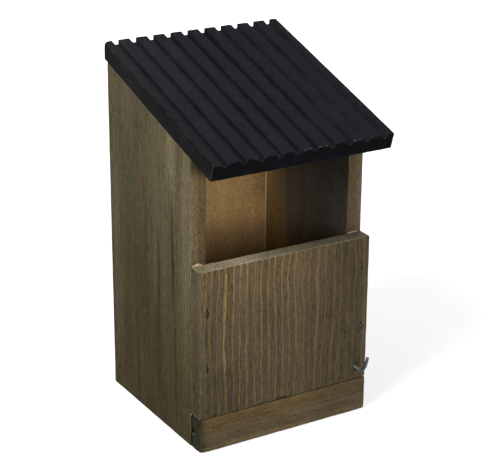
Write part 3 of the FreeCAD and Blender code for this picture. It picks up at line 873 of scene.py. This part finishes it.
def build_roof():
    """Ridged roof board: square front end, upright back end, chipped ridges and slightly wavy grooves."""
    low = Vector((roof_low.x, 0.0, 0.0))
    front_y = side_low.y - ROOF_FRONT_OVERHANG
    length = (roof_high.y - front_y) / math.cos(ROOF_PITCH)
    high = Vector((roof_high.x, length, ROOF_THICKNESS))
    starts = groove_starts()
    edges = [edge for start in starts for edge in (start, start + GROOVE_WIDTH)]
    close_to_edges = [edge + offset for edge in edges for offset in RIDGE_STATIONS]
    xs = stations(low.x, high.x, FINE_STEP, steps=edges)
    xs = sorted(set(xs + [x for x in close_to_edges if low.x < x < high.x]))
    points, faces = lattice(xs, stations(low.y, high.y), stations(low.z, high.z, FINE_STEP))
    uphill = Vector((0, math.cos(ROOF_PITCH), math.sin(ROOF_PITCH)))
    normal = Vector((0, -math.sin(ROOF_PITCH), math.cos(ROOF_PITCH)))
    origin = Vector((0, front_y, roof_underside(front_y)))
    shaped = []
    wear_and_shade = []
    for point in points:
        front = fade(point.y, 4.0)
        top = fade(high.z - point.z, 6.0)
        left = top * fade(point.x - low.x, 5.0)
        front_wear = front * (0.2 + 0.7 * max(0.0, rough(point, 3.0, 19.0)))
        radius = 0.9 + 0.3 * rough(point, 6.0, 17.0) + front_wear
        moved = soften(point, low, high, radius + 1.2 * left)
        worn = fade(edge_distance(point, low, high), 2.0) * (0.65 + 0.5 * rough(point, 5.0, 5.0))
        worn += 1.1 * front * top * max(0.0, rough(point, 2.4, 37.0))
        edge_gap = min(abs(point.x - edge) for edge in edges)
        on_top = point.z > high.z - STEP_GAP
        if any(start < point.x < start + GROOVE_WIDTH for start in starts):
            depth = GROOVE_DEPTH + 0.25 * rough(point, 12.0, 23.0)
            moved.z *= 1.0 - depth / ROOF_THICKNESS
            if on_top:
                # Groove marks: the foot of each wall is marked for painted shade, the floor for painted
                # light.
                worn = GROOVE_FOOT_SHADE if edge_gap < 2 * STEP_GAP else GROOVE_FLOOR_LIGHT
            else:
                worn *= 0.5
        elif on_top:
            chip = fade(edge_gap, 0.8) * (1.0 + 0.9 * rough(point, 5.0, 29.0))
            moved.z -= 0.35 * chip
            worn = max(worn, 0.3 * chip)
        along = moved.y * (1.0 + moved.z * math.tan(ROOF_PITCH) / length)
        wander = Vector((0.25 * rough(Vector((0.0, point.y, point.x * 0.2)), 14.0, 31.0), 0, 0))
        inside = low.x + 2.0 < point.x < high.x - 2.0
        place = origin + Vector((moved.x, 0, 0)) + uphill * along + normal * moved.z
        shaped.append(place + wander if inside else place)
        wear_and_shade.append(worn)
    make_piece(
        "roof_ridged_board", shaped, faces, paint_material, "box", ["roof_board"], wear_and_shade)


# Metalwork

def hook_path():
    """Middle line of the hook from its screw point to its tip, with the wire's radius at each place."""
    wire = HOOK_WIRE / 2
    core = 0.7 * wire
    point_end = HOOK_WIRE
    along_screw = [(HOOK_SCREW, 0.05), (HOOK_SCREW - point_end, core)]
    for turn in range(HOOK_THREAD_TURNS):
        ring = HOOK_SCREW - point_end - HOOK_THREAD_PITCH * (turn + 0.25)
        along_screw.append((ring, core))
        along_screw.append((ring - HOOK_THREAD_PITCH * 0.25, wire))
        along_screw.append((ring - HOOK_THREAD_PITCH * 0.5, core))
    plain = HOOK_SCREW - point_end - HOOK_THREAD_PITCH * HOOK_THREAD_TURNS
    along_screw += [(plain, wire), (0.0, wire), (0.6 * (HOOK_BEND - HOOK_REACH), wire)]
    steps = [(hook_place + Vector((0, depth, 0)), radius) for depth, radius in along_screw]
    corner = hook_place - Vector((0, HOOK_REACH, 0))
    up = Vector((math.sin(HOOK_LEAN), 0, math.cos(HOOK_LEAN)))
    centre = corner + Vector((0, HOOK_BEND, 0)) + up * HOOK_BEND
    bend_steps = 14
    for index in range(bend_steps + 1):
        angle = math.pi / 2 * index / bend_steps
        place = centre - up * (HOOK_BEND * math.cos(angle)) - Vector((0, HOOK_BEND * math.sin(angle), 0))
        steps.append((place, wire))
    for share in (0.7, 0.9, 0.96, 0.99, 1.0):
        rounding = max(0.0, (share - 0.9) / 0.1)
        steps.append((corner + up * (HOOK_ARM * share), wire * math.sqrt(1.0 - 0.55 * rounding ** 2)))
    return steps


def tube(steps, sides):
    """Closed tube through the steps, each a place and a radius, with flat caps."""
    points = []
    faces = []
    side = Vector((1, 0, 0))
    for index, (place, radius) in enumerate(steps):
        before = steps[max(index - 1, 0)][0]
        after = steps[min(index + 1, len(steps) - 1)][0]
        along = (after - before).normalized()
        side = (side - along * side.dot(along)).normalized()
        other = along.cross(side)
        for corner in range(sides):
            angle = 2 * math.pi * corner / sides
            points.append(place + side * (radius * math.cos(angle)) + other * (radius * math.sin(angle)))
    for ring in range(len(steps) - 1):
        for corner in range(sides):
            a = ring * sides + corner
            b = ring * sides + (corner + 1) % sides
            faces.append([a, b, b + sides, a + sides])
    faces.append(list(range(sides))[::-1])
    faces.append(list(range(len(points) - sides, len(points))))
    return points, faces


def build_hook():
    """Turn hook, one bent wire with its thread."""
    points, faces = tube(hook_path(), 24)
    make_piece("turn_hook_wire", points, faces, wire_material, "hook", ["turn_hook"])


# Torn wood

def make_lumps(name, places, material, body):
    """One piece of several rough pebble shapes, each given by its middle, half sizes and seed."""
    points = []
    faces = []
    for middle, half, seed in places:
        ball, ball_faces = lattice(*[CRUMB_STATIONS] * 3)
        start = len(points)
        for corner in ball:
            direction = corner.normalized()
            reach = 1.0 + 0.4 * rough(direction, 0.7, seed)
            points.append(Vector(middle) + Vector(direction[n] * half[n] * reach for n in range(3)))
        faces += [[start + corner for corner in face] for face in ball_faces]
    make_piece(name, points, faces, material, body)


def build_crumbs():
    """Pale crumbs where the panel's top meets the sides, and torn arrises at its lower left end."""
    seam_y = panel_high.y
    top = panel_high.z
    foot = panel_low.z
    left = panel_low.x
    right = panel_high.x
    crumbs = [
        ((left + 2.2, seam_y - 0.6, top + 0.2), (1.5, 0.9, 0.7), 1.0),
        ((left + 4.8, seam_y - 0.5, top + 0.7), (2.0, 0.9, 1.2), 2.0),
        ((left + 7.4, seam_y - 0.4, top + 0.3), (1.2, 0.7, 0.7), 3.0),
        ((right - 10.0, seam_y - 0.4, top + 0.1), (1.6, 0.6, 0.5), 4.0),
        ((right - 7.2, seam_y - 0.4, top + 0.3), (1.9, 0.7, 0.6), 5.0),
        ((right - 4.6, seam_y - 0.4, top + 0.2), (1.1, 0.6, 0.5), 6.0),
    ]
    make_lumps("panel_torn_crumbs", crumbs, crumb_material, "box")
    slivers = [
        ((left + 0.2, seam_y + 1.8, foot - 1.2), (0.4, 0.9, 0.85), 7.0),
        ((left + 0.3, seam_y - 4.0, foot + 0.3), (0.3, 3.2, 0.3), 8.0),
        ((left + 0.4, seam_y - 8.6, foot + 0.3), (0.3, 2.6, 0.28), 9.0),
    ]
    make_lumps("panel_slivers", slivers, fibre_material, "box")


def build_splinters():
    """Splinters beside the brads, on the left side's front arris and under the batten's notch."""
    slivers = []
    for number, (x, z) in enumerate(panel_brads):
        slivers.append(((x + 0.7, panel_low.y + 0.15, z + 1.9), (0.35, 0.3, 1.3), 10.0 + number))
        slivers.append(((x - 0.9, panel_low.y + 0.2, z - 0.6), (0.3, 0.3, 0.9), 20.0 + number))
    make_lumps("brad_splinters", slivers, splinter_material, "box")
    brad_y, brad_z = shown_side_brad
    side_slivers = [
        ((side_low.x + 0.15, side_low.y + FOOT_TRIM + 0.5, panel_low.z - 5.5), (0.17, 0.25, 5.0), 41.0),
        ((side_low.x + 0.15, side_low.y + FOOT_TRIM + 0.4, 7.0), (0.13, 0.16, 4.5), 44.0),
        ((side_low.x + 0.1, brad_y - 0.4, brad_z - 2.6), (0.2, 0.9, 0.45), 42.0),
        ((side_low.x + 0.05, LIGHT_SPECK_Y, LIGHT_SPECK_Z), (0.25, 0.6, 0.6), 43.0),
    ]
    make_lumps("side_splinters", side_slivers, sliver_material, "box")
    below_notch = (batten_low.x + 0.1, batten_high.y - 2.2, NOTCH_HEIGHT - 2.3)
    notch_sliver = [(below_notch, (0.45, 1.8, 0.6), 31.0)]
    make_lumps("batten_splinter", notch_sliver, sliver_material, "base")


def dress_nodes():
    """CAD nodes whose shape is right: softened edges and their own materials."""
    finishes = {
        "back_board": (back_material, 0.5),
        "floor_board": (floor_material, 0.5),
        "batten_dowels": (dowel_material, 0.3),
        "hanger_plate": (plate_material, 0.2),
        "hanger_screws": (plate_material, 0.0),
        "front_panel_brads": (brad_material, 0.0),
        "back_board_brads": (brad_material, 0.0),
        "roof_brads": (paint_material, 0.0),
    }
    for name, (material, edge) in finishes.items():
        node = frame["nodes"][name]
        node.data.materials.clear()
        node.data.materials.append(material)
        if edge:
            bevel = node.modifiers.new("softened", "BEVEL")
            bevel.width = edge * MM
            bevel.segments = 2
            bevel.limit_method = "ANGLE"
            bevel.angle_limit = math.radians(50)


# Stage

def seen_rays(tree):
    """1 for what is seen, straight on, in a reflection or through glass, and 0 for what only lights."""
    light_path = tree.nodes.new("ShaderNodeLightPath")
    seen = light_path.outputs["Is Camera Ray"]
    for ray in ("Is Glossy Ray", "Is Transmission Ray"):
        either = tree.nodes.new("ShaderNodeMath")
        either.operation = "MAXIMUM"
        tree.links.new(seen, either.inputs[0])
        tree.links.new(light_path.outputs[ray], either.inputs[1])
        seen = either.outputs[0]
    return seen


def build_floor():
    """Pale floor, white where it is seen; it glows less near the object, to keep the object's shadow."""
    mesh = bpy.data.meshes.new("floor")
    reach = 6.0
    mesh.from_pydata([(-reach, -reach, 0), (reach, -reach, 0), (reach, reach, 0), (-reach, reach, 0)],
                     [], [(0, 1, 2, 3)])
    floor = bpy.data.objects.new("floor", mesh)
    floor.location.z = -FLOOR_DROP * MM
    bpy.context.collection.objects.link(floor)
    shader = Shader("floor_white")
    shader.surface.inputs["Base Color"].default_value = (0.9, 0.9, 0.9, 1.0)
    shader.finish(0.9, 0.1)
    place = shader.place("xyz")[0]
    distance = shader.node("ShaderNodeVectorMath", {0: place}, operation="LENGTH").outputs["Value"]
    glow = shader.smooth(distance, GLOW_NEAR, GLOW_FAR, NEAR_GLOW, FAR_GLOW)
    shader.surface.inputs["Emission Color"].default_value = (1.0, 1.0, 1.0, 1.0)
    shader.link(shader.product(seen_rays(shader.tree), glow), "Emission Strength")
    mesh.materials.append(shader.material)


def area_light(name, place, aim, size, power):
    """Round soft light, aimed at a point."""
    data = bpy.data.lights.new(name, "AREA")
    data.shape = "DISK"
    data.size = size
    data.energy = power
    light = bpy.data.objects.new(name, data)
    light.location = place
    light.rotation_euler = (Vector(aim) - Vector(place)).to_track_quat("-Z", "Y").to_euler()
    bpy.context.collection.objects.link(light)


def build_lights():
    """Low key from the front, soft lights high on the left and low behind on the right, white surround."""
    middle = (0.0, 0.0, 0.13)
    area_light("key", (-0.35, -1.7, 0.5), middle, 1.0, 15.5)
    area_light("high_left", (-0.93, -0.33, 1.2), middle, 0.6, 14.0)
    area_light("behind_right", (1.05, 1.35, 0.5), middle, 0.9, 15.0)
    world = bpy.data.worlds.new("studio")
    world.use_nodes = True
    nodes, links = world.node_tree.nodes, world.node_tree.links
    background = nodes["Background"]
    background.inputs["Color"].default_value = (1.0, 1.0, 1.0, 1.0)
    strength = nodes.new("ShaderNodeMapRange")
    strength.inputs["To Min"].default_value = 0.22
    strength.inputs["To Max"].default_value = 1.0
    links.new(seen_rays(world.node_tree), strength.inputs["Value"])
    links.new(strength.outputs["Result"], background.inputs["Strength"])
    bpy.context.scene.world = world


def build_camera():
    """Camera at the photograph's place, with its small roll."""
    data = bpy.data.cameras.new("camera")
    data.lens = CAMERA_LENS
    data.sensor_width = CAMERA_SENSOR
    camera = bpy.data.objects.new("camera", data)
    backward = (CAMERA_PLACE - CAMERA_AIM).normalized()
    level_right = Vector((0, 0, 1)).cross(backward).normalized()
    level_up = backward.cross(level_right)
    right = level_right * math.cos(CAMERA_ROLL) + level_up * math.sin(CAMERA_ROLL)
    up = level_up * math.cos(CAMERA_ROLL) - level_right * math.sin(CAMERA_ROLL)
    turn = Matrix((right, up, backward)).transposed().to_4x4()
    camera.matrix_world = Matrix.Translation(CAMERA_PLACE * MM) @ turn
    bpy.context.collection.objects.link(camera)
    bpy.context.scene.camera = camera


build_front_panel()
build_batten()
build_side("left_side_board", side_low, side_high, side_high.x, ["left_side"])
build_side("right_side_board", right_low, right_high, right_low.x, ["right_side"])
build_roof()
build_hook()
build_crumbs()
build_splinters()
dress_nodes()
build_floor()
build_lights()
build_camera()
bpy.context.scene.view_settings.view_transform = "Standard"
